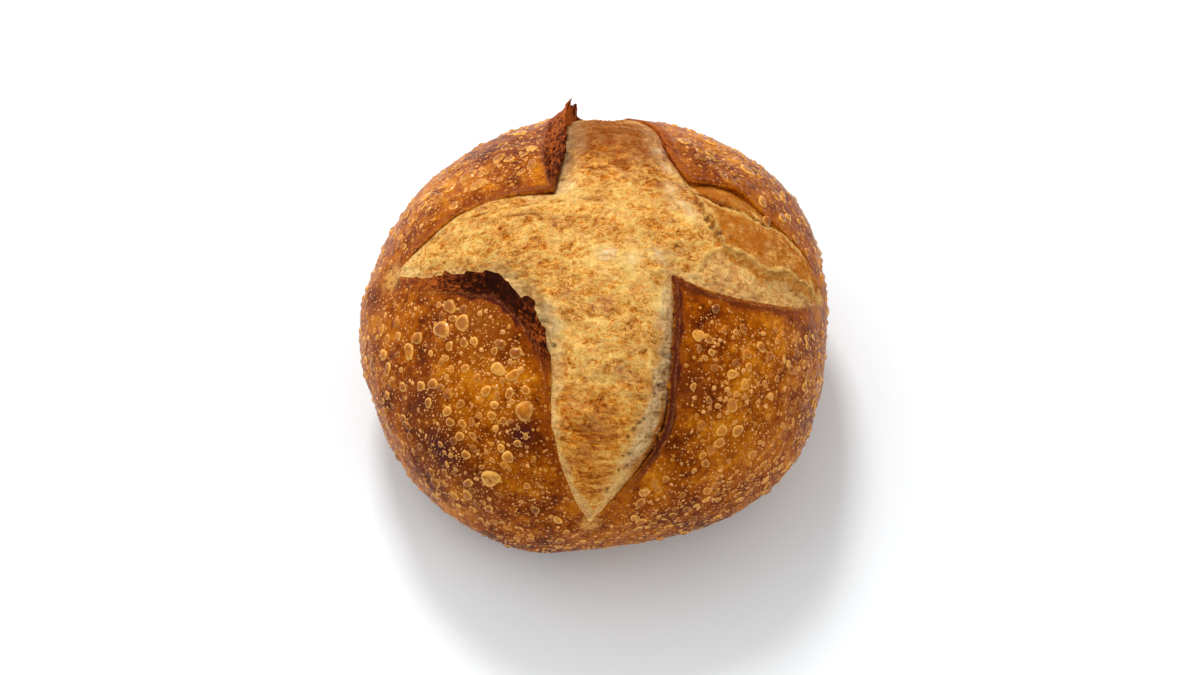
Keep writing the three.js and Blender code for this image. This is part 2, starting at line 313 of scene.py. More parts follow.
def crustHeight(skin, gap, near):  # over the smooth loaf
    place = bodyPoint(skin)
    bend = np.maximum(0, 1 - gap / crustShape["curlWidth"]) ** 2
    torn = np.maximum(0, 1 - gap / (near["face"] + crustShape["tornReach"])) ** crustShape["tornPower"]
    curl = near["lift"] * lerp(torn, bend, crustShape["curlShare"])
    roll = crustShape["rollShare"] * near["lift"] * (1 - near["ear"]) * hump(gap, crustShape["rollWidth"])
    standing = smooth(near["lift"], 0.6, 2.5)
    rim = crustShape["rimHeight"] * standing * hump(gap - near["face"], crustShape["rimWidth"])
    onFace = onTornFace(gap, near)
    strands = np.stack([near["run"] * 0.22, gap, 0 * gap], -1)
    grain = crustShape["faceGrain"] * onFace * (noiseAt(strands, 1.3, 2) + 0.4 * noiseAt(place, 1.8))
    lumpy = sum(top * noiseAt(place, width) for width, top in crustShape["lumps"])
    lumpyShare = smooth(place[..., 2], *crustShape["lumpyFrom"])
    return curl - roll + rim + grain + lumpyShare * lumpy * (1 - crustShape["faceCalm"] * onFace)


def evenWay(start, end, rows):  # places parting straight ways over the skin evenly as measured on the loaf
    shares = np.linspace(0, 1, 65)  # 64 short parts to measure along
    stops = lerp(start[:, None], end[:, None], shares[None, :, None])
    lengths = np.linalg.norm(np.diff(bodyPoint(stops), axis=1), axis=2)
    run = np.concatenate([np.zeros((len(start), 1)), np.cumsum(lengths, 1)], 1)
    out = [np.interp(np.linspace(0, 1, rows + 1)[1:] * r[-1], r, shares) for r in run]
    return lerp(start[:, None], end[:, None], np.array(out)[..., None])


def addValues(mesh, values, shape):  # what the materials read at each corner
    for name, each in values.items():
        attribute = mesh.attributes.new(name, "FLOAT", "POINT")
        attribute.data.foreach_set("value", np.broadcast_to(each, shape).astype(np.float32).ravel())


def sheet(columns, rows, points, values):  # a grid whose corners take the given places and values
    bpy.ops.mesh.primitive_grid_add(x_subdivisions=columns, y_subdivisions=rows, size=1)
    piece = bpy.context.object
    piece.data.vertices.foreach_set("co", (points.reshape(-1, 3) * mm).astype(np.float32).ravel())
    addValues(piece.data, values, points.shape[:-1])
    piece.data.update()
    return piece


def editMode(piece, kind="VERT"):
    bpy.ops.object.select_all(action="DESELECT")
    bpy.context.view_layer.objects.active = piece
    piece.select_set(True)
    bpy.ops.object.mode_set(mode="EDIT")
    bpy.ops.mesh.select_mode(type=kind)
    bpy.ops.mesh.select_all(action="SELECT")


def weld(piece, kind):  # merge the seams, and leave the edges that are still open selected
    editMode(piece, kind)
    bpy.ops.mesh.remove_doubles(threshold=2e-6)
    bpy.ops.mesh.select_all(action="DESELECT")
    bpy.ops.mesh.select_non_manifold(extend=False, use_wire=False, use_multi_face=False,
                                     use_non_contiguous=False, use_verts=False)


def faceOut():
    bpy.ops.mesh.select_all(action="SELECT")
    bpy.ops.mesh.normals_make_consistent(inside=False)
    bpy.ops.object.mode_set(mode="OBJECT")


def closeGaps(piece):  # where one fine column ends between two coarse ones
    weld(piece, "EDGE")
    bpy.ops.mesh.fill_holes(sides=3)
    bpy.ops.object.mode_set(mode="OBJECT")


def closeEnds(piece):  # merge the seams and fill what is still open
    weld(piece, "VERT")
    if any(v.select for v in bmesh.from_edit_mesh(piece.data).verts):
        bpy.ops.mesh.fill()
    faceOut()
    bpy.ops.object.shade_smooth()


def underside(arms, values):  # from lip to lip under each arm, and under the middle
    pieces = [sheet(1, len(right) - 1, np.stack([right, left], 1), values) for right, left in arms]
    inner = [(right[0], left[0]) for right, left in arms]
    northEast, northWest = inner[1]
    southWest, southEast = inner[2][1], inner[3][1]
    pieces.append(sheet(1, 1, np.array([[southWest, southEast], [northWest, northEast]]), values))
    return pieces


def joined(pieces, name):
    bpy.ops.object.select_all(action="DESELECT")
    for piece in pieces:
        piece.select_set(True)
    bpy.context.view_layer.objects.active = pieces[0]
    bpy.ops.object.join()
    piece = bpy.context.object
    piece.name = piece.data.name = name
    return piece


def triangles(mesh):
    return sum(len(face.vertices) - 2 for face in mesh.polygons)


def spotsAt(skin, spots, ragged=1.0):  # each spot's strength, falling off over its radius
    return [strength * hump(awayFrom(skin, east, north) * ragged, radius)
            for east, north, radius, strength in spots]


def toneValues(skin, gap, near):  # what the crust's colour follows
    body = bodyPoint(skin)
    fadeStart, fadeEnd = (lerp(low, near["face"] + past, near["ear"])
                          for low, past in zip(crustShape["lowBurn"], crustShape["earBurn"]))
    return {
        "burn": near["burn"] * (1 - smooth(gap + 2.2 * noiseAt(body, 4, 2), fadeStart, fadeEnd)),
        "low": 1 - smooth(body[..., 2], 2, 45),
        "atTip": np.maximum.reduce([hump(awayFrom(skin, east, north), radius, 4)
                                    for east, north, radius in crustShape["paleTips"]]),
        "dark": np.maximum.reduce(spotsAt(skin, crustShape["darkSpots"])),
        "gold": np.maximum.reduce(spotsAt(skin, crustShape["goldSpots"])),
    }


def crustRows():  # places beside the lips, and from there over the dome and the skirt to the foot
    beside = np.array(crustShape["besideRows"]) / ring["square"][:, None]
    besideSkin = ring["skin"][:, None] + ring["down"][:, None] * beside[..., None]
    besideSkin[:, 0] -= ring["intoFlap"] * ring["fray"][:, None] * crustShape["frayOut"]
    coarse = slice(None, None, lipDetail["columnStride"])
    last, foot = besideSkin[coarse, -1], ring["foot"][coarse]
    fromTop = np.linalg.norm(last, axis=1)
    awayShare = np.clip((0.5 * skinToFoot - fromTop) / (skinToFoot - fromTop), 0.02, 1)[:, None]
    middle = lerp(last, foot, awayShare)
    farSkin = np.concatenate([last[:, None], evenWay(last, middle, crustShape["domeRows"]),
                              evenWay(middle, foot, crustShape["skirtRows"])], 1)
    return besideSkin, farSkin, foot


def crustPart(skin, gap, near, height):  # points and values of some rows
    points = raised(skin, height)
    fromFace = gap - near["face"] - 0.1 + 0.5 * noiseAt(points, 3)
    return points, {
        **toneValues(skin, gap, near),
        "inside": np.zeros_like(gap),
        "face": onTornFace(gap, near),
        # the crest along a burnt lip, where the crust's colour paints a highlight
        "rim": smooth(near["burn"], 0.3, 0.7) * hump(fromFace, 0.45),
        "edge": (1 - near["ear"]) * smooth(near["burn"], 0.1, 0.4) * hump(gap, 0.8),
        "run": near["run"] * mm,
        "gap": gap * mm,
        "under": np.zeros_like(gap),
    }


def roundSheet(points, values):  # rows of columns that go round the loaf, as one sheet that meets itself
    wrap = np.arange(len(points) + 1) % len(points)
    values = {key: each[wrap].swapaxes(0, 1) for key, each in values.items()}
    return sheet(len(points), points.shape[1] - 1, points[wrap].swapaxes(0, 1), values)


def addBase(points, values):  # the flat base, from the foot to near its middle
    share = np.array(crustShape["baseRows"])[None, :, None]
    base = points[:, -1:] * share
    flat = base * (1, 1, 0)
    width, top = crustShape["baseLumps"]
    base[..., 2] = smooth(share[..., 0], 1.0, 0.85) * (top + top * noiseAt(flat, width, 2))
    onBase = {key: np.broadcast_to(each[:, -1:], base.shape[:-1]) for key, each in values.items()}
    onBase["under"] = np.broadcast_to(smooth(share[..., 0], 1.02, 0.94), base.shape[:-1])
    values = {key: np.concatenate([each, onBase[key]], 1) for key, each in values.items()}
    return np.concatenate([points, base], 1), values


def addWall(points, values, skin, height):  # the wall under the lips, down beside the crumb
    share = np.linspace(1, 0, crustShape["wallRows"] + 1)[:-1]
    tuck = lipDetail["undercut"] * smooth(ring["lift"], 0.5, 3)[:, None] * np.minimum(1, 2.2 * share) ** 0.7
    wallSkin = skin[:, :1] + ring["intoFlap"][:, None] * tuck[..., None]
    bottom = -(ring["groove"] + crustShape["wallDepth"])
    wall = raised(wallSkin, lerp(height[:, :1], bottom[:, None], share ** 1.3))
    width, top = crustShape["wallGrain"]
    wall = wall + top * noiseAt(wall, width, 2)[..., None] * bodyNormal(wallSkin)
    onWall = {key: np.broadcast_to(each[:, :1], wall.shape[:-1]) for key, each in values.items()}
    onWall["inside"] = np.ones(wall.shape[:-1])
    onWall["gap"] = -np.broadcast_to(share * 2 * mm, wall.shape[:-1])
    values = {key: np.concatenate([onWall[key], each], 1) for key, each in values.items()}
    return np.concatenate([wall, points], 1), values


def placeable(skin, points, gap, near):  # where blisters may stand, the crust's area there, and their room
    across = np.roll(points, -1, 0) - points
    area = np.linalg.norm(np.cross(across[:, :-1], np.diff(points, axis=1)), axis=2)
    clear = (gap - near["face"] * near["ear"])[:, :-1]
    area[(clear < 1.5) | (points[:, :-1, 2] < 4)] = 0
    return skin[:, :-1].reshape(-1, 2), area.ravel(), clear.ravel()


def makeCrust():
    besideSkin, farSkin, foot = crustRows()
    gap, near = nearLip(besideSkin)
    gap[:, 0] = 0
    height = crustHeight(besideSkin, gap, near)
    height[:, 0] += ring["fray"]
    height[:, 1] += crustShape["frayBehind"] * ring["fray"]
    points, values = addWall(*crustPart(besideSkin, gap, near, height), besideSkin, height)
    arms = [[points[steps, 0] for steps in armSteps(arm)] for arm in range(4)]
    pieces = underside(arms, {key: 0 * each[:1, :1] + (key == "inside") for key, each in values.items()})
    pieces.append(roundSheet(points, values))

    gap, near = nearLip(farSkin)
    points, values = crustPart(farSkin, gap, near, crustHeight(farSkin, gap, near))
    points[:, -1] = bodyPoint(foot)
    placed = placeable(farSkin, points, gap, near)
    pieces.append(roundSheet(*addBase(points, values)))

    piece = joined(pieces, "loaf_crust")
    closeGaps(piece)
    closeEnds(piece)
    print("crust triangles", triangles(piece.data))
    return piece, placed


crumbShape = {
    "swell": 2.4,
    "shoulder": 7,
    "northDip": (50, 110, 4.6),  # from where to where it deepens, and how much
    "acrossSteps": 82,
    "tuck": 2,  # how far it goes on under the lips
    "tuckDepth": 1.6,
    "depth": 6,
    "grain": [(11, 0.8), (4.5, 0.55), (1.9, 0.4), (0.9, 0.22)],  # width, height
    "fibre": 0.42,
    "strandHeight": 0.5,
    "strands": [(0.6, 60, 2.8, 0.2), (0.8, 20, 4.6, 0.12)],  # stretch, shift, width, thickness
    "strandCurl": (7, 2.6),
    "calmTip": 14,  # the surface quietens towards a tip over this distance
    "rippleDepth": 0.8,
    "poreDepth": 1.2,
    "creaseDepth": 0.7,
    "creaseWidth": 0.6,
    "sillHeight": 1.3,  # of the ledge beside the deep groove
    "sillFade": (1.6, 3.6),
    "sillSouth": (60, 78),  # how far south it starts, and is full
    # east, north, radius
    "pores": [(42, 13, 0.9), (45, 10, 1), (48.5, 7.5, 1.1), (95, -7, 0.9), (110, -4, 1), (-77, 7, 0.9),
              (-80, 5, 0.6), (-86, 3, 0.8), (28, 44, 0.9), (28, 52, 0.8), (30, -1, 0.7), (24, -58, 0.8),
              (26.8, -61, 1.1), (25, -65, 0.9), (21, -77, 1), (18.6, -79, 1.3), (16.5, -82, 1.3),
              (14, -85.5, 1), (12, -95, 0.8), (15.4, -94, 0.9), (10.4, -103, 0.8), (14.5, -102, 0.8),
              (5, -113, 0.8), (-14, 33, 0.9), (-16, -42, 0.8)],
    # each a line of east and north
    "creases": [((-49, 14), (-25, 12), (-12, 8)), ((-74, 13), (-59, 15), (-38, 18), (-14, 19), (16, 15)),
                ((-11, 60), (0, 63), (9, 60)), ((-6, 86), (4, 89), (14, 86))],
    # east, north, radius, strength
    "toastSpots": [(0, 75, 20, 0.8), (4, 104, 14, 0.2), (1, 65, 7, 0.5), (10, 60, 6, 0.6), (18, 52, 5, 0.7),
                   (11, 37, 5, 0.5), (16, 27, 5, 0.8), (3, 28, 5, 0.7), (-3, 56, 5, 0.6), (3, 4.5, 5, 1.2),
                   (19, 12, 4, 0.6), (16, 19, 4, 0.6), (-15, 7, 3, 0.5), (-8, -24, 4, 0.5), (1, -27, 4, 0.5),
                   (-5, -32, 5, 0.5), (-12, -75, 6, 0.5), (0, -85, 14, 0.8), (-3, -104, 9, 0.8),
                   (8, -62, 12, 0.4), (84, 10, 16, 0.4), (40, 26, 7, 0.8), (-62, 10, 9, 0.5)],
    "milkySpots": [(3, -7, 3.2, 1), (12.7, -8.3, 2.8, 0.9), (23, -5.5, 3.4, 0.8), (-12.5, 27, 4, 0.7),
                   (-16, -33, 3.4, 0.7), (-18, -27, 2.6, 0.7), (25.4, -20, 2.4, 0.8), (25.5, -28, 2.8, 0.8),
                   (24.6, -34, 2.4, 0.7), (26.3, 52.7, 3, 0.9), (28, 38, 3, 0.8), (28.5, 26, 3.4, 0.8),
                   (30.5, 19, 3.4, 0.7), (35.6, 15, 3, 0.6)],
    "paleSpots": [(16, -8, 8, 1), (-4, 112, 7, 0.5), (-1, -9, 6, 1), (25, -23, 6, 1), (24, -50, 6, 1),
                  (20, -88, 6, 1), (9, -109, 5, 1), (-11, 20, 5, 1), (-11, 52, 4, 1), (35, 43, 5, 1),
                  (31, 19, 5, 1), (-14, -36, 6, 1), (62, -10, 6, 0.7), (36, 13, 4, 1), (0, -45, 9, 0.6),
                  (-80, 2, 8, 0.8)],
}

# The east arm's steps: a valley beside its south lip, a shelf above it, and a strip torn up on the shelf.
eastArm = {
    "start": 44, "full": 50, "fade": 104, "end": 120,  # where it deepens, and where it comes up again
    "valleyDepth": 1.2,
    "valleyDrop": 1.1,
    "westDrop": 1.3,
    "shelfRise": 1,
    "shelfLip": 0.5,
    "stripRise": 1.2,
    "crackDepth": 1.8,
    "frayWidths": (4, 1.7),
    "valleyLine": [(36, -20), (40, -9), (45, -3), (51, 0), (58, -1), (64, -2), (69, -5), (76, -5), (84, -1),
                   (91, -3), (100, -2), (109, -2), (120, 1)],
    "shelfLine": [(28, 63), (31, 50), (33, 40), (35, 29), (38, 20), (43, 14), (47, 8), (50, 2), (58, 0),
                  (64, -1), (69, -4), (76, -4), (84, 0), (91, -2), (100, -1), (109, -1), (120, 2)],
    "stripLine": [(36, 25), (41, 24), (48, 21), (58, 22), (65, 21), (71, 21), (78, 24), (89, 23), (99, 21),
                  (108, 15)],
}


def besideLine(skin, stations):  # distance to a line, above nought on its left, and how far along it
    line = curveThrough(stations, 160)
    along = unit(np.gradient(line, axis=0))
    flat = skin.reshape(-1, 2)
    side, run = np.zeros(len(flat)), np.zeros(len(flat))
    chunk = 8192
    for start in range(0, len(flat), chunk):
        part = flat[start:start + chunk]
        away = part[:, None] - line
        nearest = (away ** 2).sum(2).argmin(1)
        gap = away[np.arange(len(part)), nearest]
        way = along[nearest]
        turn = way[:, 0] * gap[:, 1] - way[:, 1] * gap[:, 0]
        side[start:start + chunk] = np.sign(turn) * np.linalg.norm(gap, axis=1)
        run[start:start + chunk] = nearest / (len(line) - 1)
    return side.reshape(skin.shape[:-1]), run.reshape(skin.shape[:-1])


def besideArmLine(skin, key, elsewhere):  # the same for a line of the east arm, with one distance elsewhere
    east, north = skin[..., 0], skin[..., 1]
    close = (east > 18) & (north > -25) & (north < 75)
    side, run = np.full(east.shape, float(elsewhere)), np.zeros(east.shape)
    side[close], run[close] = besideLine(skin[close], eastArm[key])
    return side, run


def stepsHeight(skin):  # the east arm's valley, shelf and strip, and what the crumb's colour takes from them
    east, north = skin[..., 0], skin[..., 1]
    flat = flatPoint(skin)
    fading = 1 - smooth(east, eastArm["fade"], eastArm["end"])
    deepens = smooth(east, eastArm["start"], eastArm["full"]) * fading
    wide, narrow = eastArm["frayWidths"]
    ragged = 0.9 * noiseAt(flat, wide) + 1.0 * noiseAt(flat, narrow, 2)

    side, run = besideArmLine(skin, "shelfLine", -50)
    side = side + ragged
    ends = span(run, 0.06, 0.93)
    onShelf = smooth(side, -0.9, 0.6) * ends
    west = eastArm["westDrop"] * hump(side, 6)
    low = lerp(west, eastArm["valleyDepth"], deepens * (1 - smooth(north, 2, 14)))
    upperPart = 1 - smooth(run, 0.38, 0.5)
    kept = smooth(noiseAt(flat + 20, 6), -0.7, 0.0)
    shelfEdge = hump(side - 0.1, 0.6) * kept * ends * lerp(0.75, 1, upperPart)
    # the slope down from the shelf's edge lies in shade; the crumb's colour paints warm light on it
    brink = hump(side + 1.6, 1.6) * ends * smooth(east, 40, 48)

    stripSide, stripRun = besideArmLine(skin, "stripLine", -50)
    stripSide = stripSide + ragged * 0.8
    inStrip = span(stripRun, 0.05, 0.9)
    onStrip = smooth(stripSide, -0.3, 0.3) * inStrip * onShelf
    crack = hump(stripSide + 0.3, 0.65) * smooth(noiseAt(flat + 50, 7), -0.6, 0.1) * inStrip
    fringe = hump(stripSide + 1.7, 0.7) * inStrip + hump(side - 1.2, 0.9) * ends * 0.8

    valleySide, _ = besideArmLine(skin, "valleyLine", 50)
    valleySide = valleySide + 0.8 * ragged
    inValley = (1 - smooth(valleySide, -0.8, 0.6)) * fading
    westRim = hump(valleySide - 0.9, 1.0) * (1 - onShelf) * smooth(north, -14, -9)

    height = lerp(-low * ends, eastArm["shelfRise"] * hump(side, 40), onShelf)
    height = height + eastArm["stripRise"] * onStrip - eastArm["crackDepth"] * crack
    height = height + eastArm["shelfLip"] * shelfEdge
    height = height - eastArm["valleyDrop"] * inValley * (1 - onShelf) + eastArm["shelfLip"] * westRim
    return height, {
        "shelf": onShelf * smooth(side, 0.5, 2.5),
        "valley": inValley,
        "crack": crack,
        "shelfEdge": shelfEdge,
        "fringe": fringe + 0.9 * westRim,
        "brink": brink,
    }


def crumbSkins():  # grids of places for the arms and the middle; an arm's outer columns are under its lips
    even = np.linspace(0, 1, crumbShape["acrossSteps"] + 1)
    shares = lerp(even, (1 - np.cos(math.pi * even)) / 2, 0.5)[:, None]  # closer together beside the lips
    grids = []
    for arm in range(4):
        onLips = [ring["skin"][steps][:, None] for steps in armSteps(arm)]
        underLips = [ring["skin"][steps][:, None] + crumbShape["tuck"] * ring["intoFlap"][steps][:, None]
                     for steps in armSteps(arm)]
        grids.append(np.concatenate([underLips[0], lerp(*onLips, shares[None]), underLips[1]], 1))
    corners = ring["skin"][::lipDetail["steps"]]
    southWest, southEast, northWest, northEast = (corners[order] for order in (5, 7, 3, 1))
    south = lerp(southWest, southEast, shares)
    north = lerp(northWest, northEast, shares)
    grids.append(lerp(south[:, None], north[:, None], shares[None]))
    return grids


def poresAt(skin, flat):
    ragged = 1.25 + 0.9 * noiseAt(flat, 1.4, 2)
    return np.maximum.reduce([
        hump(np.hypot((skin[..., 0] - east) * 0.75, skin[..., 1] - north) * ragged, radius, 4)
        for east, north, radius in crumbShape["pores"]])


def creasesAt(skin, flat):
    crease = np.zeros(skin.shape[:-1])
    for line in crumbShape["creases"]:
        low, high = np.min(line, 0) - 4, np.max(line, 0) + 4
        close = ((skin > low) & (skin < high)).all(-1)
        if close.any():
            side, run = besideLine(skin[close], line)
            side = side + 1.3 * noiseAt(flat[close], 4, 2)
            kept = span(run, 0.1, 0.9) * smooth(noiseAt(flat[close] + 9, 5), -0.5, 0.2)
            crease[close] = np.maximum(crease[close], kept * hump(side, crumbShape["creaseWidth"]))
    return crease


def strandsAt(flat):  # thin curled threads that stand up from the crumb
    curlWidth, curl = crumbShape["strandCurl"]
    sideways = [noiseAt(flat, curlWidth, 2), noiseAt(flat + 90, curlWidth, 2), 0 * flat[..., 0]]
    curled = flat + curl * np.stack(sideways, -1)
    return np.maximum.reduce([
        np.maximum(0, 1 - np.abs(noiseAt(curled * (stretch, 1, 1) + shift, width, 2)) / thickness)
        for stretch, shift, width, thickness in crumbShape["strands"]])


def crumbValues(skin, isArm):  # its height over the smooth loaf, and what its colour follows
    gap, near = nearLip(skin)
    north = skin[..., 1]
    flat = flatPoint(skin)
    full = 1 - hump(gap, crumbShape["shoulder"])
    start, end, dip = crumbShape["northDip"]
    swell = crumbShape["swell"] - dip * smooth(north, start, end)
    steps, stepTones = stepsHeight(skin)
    onShelf = stepTones["shelf"]
    toTip = np.minimum.reduce([awayFrom(skin, *tip[:2]) for tip in (eastTip, northTip, westTip, southTip)])
    calm = smooth(toTip, 0, crumbShape["calmTip"]) * (0.25 + 0.75 * smooth(gap, 0, 2.5))

    body = bodyPoint(skin)
    grain = sum(top * noiseAt(body, width) for width, top in crumbShape["grain"])
    wavy = flat + 1.5 * noiseAt(flat, 8)[..., None] * (0, 1, 0)
    inSouth = 0.6 + 0.6 * smooth(-north, 20, 60)
    fibre = crumbShape["fibre"] * noiseAt(wavy * (0.2, 1, 1), 1.5, 2) * inSouth
    strand = strandsAt(flat) * (1 - 0.2 * onShelf) * calm
    inGroove = (1 - smooth(gap, near["pale"] * 0.5, near["pale"] * 1.05)) * smooth(near["groove"], 0.9, 2.5)
    ripple = smooth(noiseAt(wavy * (0.28, 1, 1) + 40, 2.5) + 0.35 * noiseAt(flat, 3), 0.02, 0.45) * inGroove
    pore = poresAt(skin, flat)
    crease = creasesAt(skin, flat)
    sill = ((1 - smooth(gap + 0.8 * noiseAt(flat, 6), *crumbShape["sillFade"]))
            * smooth(-north, *crumbShape["sillSouth"]) * smooth(near["groove"], 1.2, 2.4))

    height = lerp(-near["groove"], swell + steps, full) + (grain + fibre) * (1 - 0.3 * onShelf) * calm
    height = height + crumbShape["strandHeight"] * strand
    height = height - crumbShape["rippleDepth"] * ripple - crumbShape["poreDepth"] * pore
    height = height - crumbShape["creaseDepth"] * crease + crumbShape["sillHeight"] * sill
    if isArm:  # under the lips
        height[:, [0, -1]] = -near["groove"][:, [0, -1]] - crumbShape["tuckDepth"]

    bare = 1 - smooth(gap + 2.5 * noiseAt(flat, 5, 2), near["pale"] * 0.5, near["pale"] * 1.15)
    ragged = 1 + 0.4 * noiseAt(flat, 5, 2)
    toast, pale, milky = (sum(spotsAt(skin, crumbShape[key], ragged))
                          for key in ("toastSpots", "paleSpots", "milkySpots"))
    return height, {
        "deep": smooth(near["groove"], 2, 3.5) * inGroove,
        "toasted": np.clip(toast - pale, -1, 1.2),
        "milky": np.clip(milky, 0, 1),
        "bare": np.maximum(bare * (1 - onShelf), 0.8 * stepTones["valley"]),
        "ripple": ripple,
        "pore": pore,
        "crease": crease,
        "strand": strand,
        "sill": sill,
        "groove": (1 - smooth(gap, 0, 4)) * smooth(near["groove"], 0.8, 2.5),
        "south": smooth(-north, 45, 85) * (1 - bare),
        "north": smooth(north, 24, 52) * (1 - 0.5 * smooth(north, 78, 108)),
        "atTip": 1 - smooth(toTip, 4, 22),
        **stepTones,
    }


def makeCrumb():
    pieces, arms = [], []
    for number, skin in enumerate(crumbSkins()):
        isArm = number < 4
        height, values = crumbValues(skin, isArm)
        points = raised(skin, height)
        if isArm:  # the hidden sides under the lips
            drop = np.array([0, 0, -crumbShape["depth"]])
            points = np.concatenate([points[:, :1] + drop, points, points[:, -1:] + drop], 1)
            values = {key: np.concatenate([each[:, :1], each, each[:, -1:]], 1)
                      for key, each in values.items()}
            arms.append((points[:, 0], points[:, -1]))
        pieces.append(sheet(points.shape[1] - 1, points.shape[0] - 1, points, values))
    pieces += underside(arms, {key: 0 * each[:1, :1] for key, each in values.items()})
    piece = joined(pieces, "loaf_crumb")
    closeEnds(piece)
    print("crumb triangles", triangles(piece.data))
    return piece


blisters = {
    "kinds": [("tiny", 0, 0.9, 7, 2), ("small", 0.9, 1.6, 12, 3), ("medium", 1.6, 2.7, 16, 3),
              ("large", 2.7, 99, 26, 8)],  # name, radius from and to, segments, rings
    "tries": 12000,
    "patchWidth": 20,
    "sizes": (0.45, 2.7),  # smallest and largest radius
    "evenness": 4.6,  # higher has fewer large ones
    "apart": 0.84,  # of two radii
    "height": 0.48,  # over the radius
    "heightFrom": 0.75,  # the lowest over the usual
    "sink": 0.12,
    "stretch": 0.09,
    "wobble": (0.09, 0.07),
    "collapsedFrom": (2.2, 3.6),  # wide ones sink in the middle
    "named": [(-30, -69, 4.6), (-51, -101, 4.6), (-40, -90, 3), (-36, -92, 3), (-64, -59, 2.6),
              (-72, -54, 2.8), (-86, -37, 3.6), (-80, -32, 3.2), (-31, -44, 3), (-37, -40, 2.6),
              (60, -66, 3.2), (58, -79, 2.8), (66, -78, 3), (24, -124, 2.6), (27, -140, 2.8),
              (-65, -31, 4.5), (-54, -30, 4), (-60, -22, 3.4), (47, -25, 2.4), (40, -37, 3),
              (-39, -50, 3.4), (-33, -53, 3), (-88, -104, 3.2), (-68, -111, 3), (-103, -42, 3),
              (-106, -34, 3), (53, 40, 4), (66, 54, 4), (44, 59, 3.4), (73, 24, 3), (84, 32, 3),
              (-50, 37, 4), (-57, 48, 4.5), (-70, 37, 3.4), (-43, 54, 3.4), (38, 64, 3.6), (43, 51, 3),
              (71, 34, 3.2), (61, 41, 3), (82, 45, 3), (53, 73, 3.4), (63, 61, 3.2), (94, 25, 2.4),
              (104, 23, 2.4), (89, 36, 2.4), (-41, 63, 3), (-36, 78, 3.4), (-65, 42, 2.6), (-60, 27, 2.6),
              (-28, 56, 3), (-27, 43, 3), (-80, 45, 3)],  # east, north, radius
}


def unitDome(segments, rings):  # half a ball with a closed flat foot
    bpy.ops.object.select_all(action="DESELECT")
    bpy.ops.mesh.primitive_uv_sphere_add(segments=segments, ring_count=2 * rings, radius=1)
    piece = bpy.context.object
    editMode(piece)
    bpy.ops.mesh.bisect(plane_co=(0, 0, 0), plane_no=(0, 0, 1), clear_inner=True, use_fill=True)
    bpy.ops.object.mode_set(mode="OBJECT")
    places = np.array([v.co for v in piece.data.vertices])
    faces = [tuple(f.vertices) for f in piece.data.polygons]
    bpy.data.objects.remove(piece)
    return places, faces


def skinOffsets(skin, offsets):  # steps over the loaf, in millimetres, as steps on the flat skin
    alongEast, alongNorth = slopes(skin)
    jacobian = np.stack([alongEast, alongNorth], -1)
    side = unit(alongEast)
    other = np.cross(bodyNormal(skin), side)
    onLoaf = offsets[..., :1] * side[:, None] + offsets[..., 1:] * other[:, None]
    return np.einsum("nij,nvj->nvi", np.linalg.pinv(jacobian), onLoaf)


def chooseBlisters(skinPlaces, areas, clear):  # the named ones, then the others from the largest down
    patchy = 0.5 + 0.5 * noiseAt(bodyPoint(skinPlaces), blisters["patchWidth"], 2)
    chance = areas * (0.3 + 0.7 * smooth(patchy, 0.2, 0.7))
    chosen = rng.choice(len(areas), blisters["tries"], p=chance / chance.sum(), replace=False)
    low, high = blisters["sizes"]
    radii = low * (high / low) ** (rng.random(len(chosen)) ** blisters["evenness"])
    order = np.argsort(-radii)
    named = np.array(blisters["named"], float)
    skin = np.concatenate([named[:, :2], skinPlaces[chosen[order]]])
    radii = np.concatenate([named[:, 2], radii[order]])
    room = np.concatenate([np.full(len(named), 99.0), clear[chosen[order]]])
    at = bodyPoint(skin)
    kept = np.zeros(0, int)
    for i in range(len(skin)):  # each keeps most of its own ground
        away = np.linalg.norm(at[kept] - at[i], axis=1)
        if room[i] > radii[i] and not (away < blisters["apart"] * (radii[kept] + radii[i])).any():
            kept = np.append(kept, i)
    return skin[kept], radii[kept]


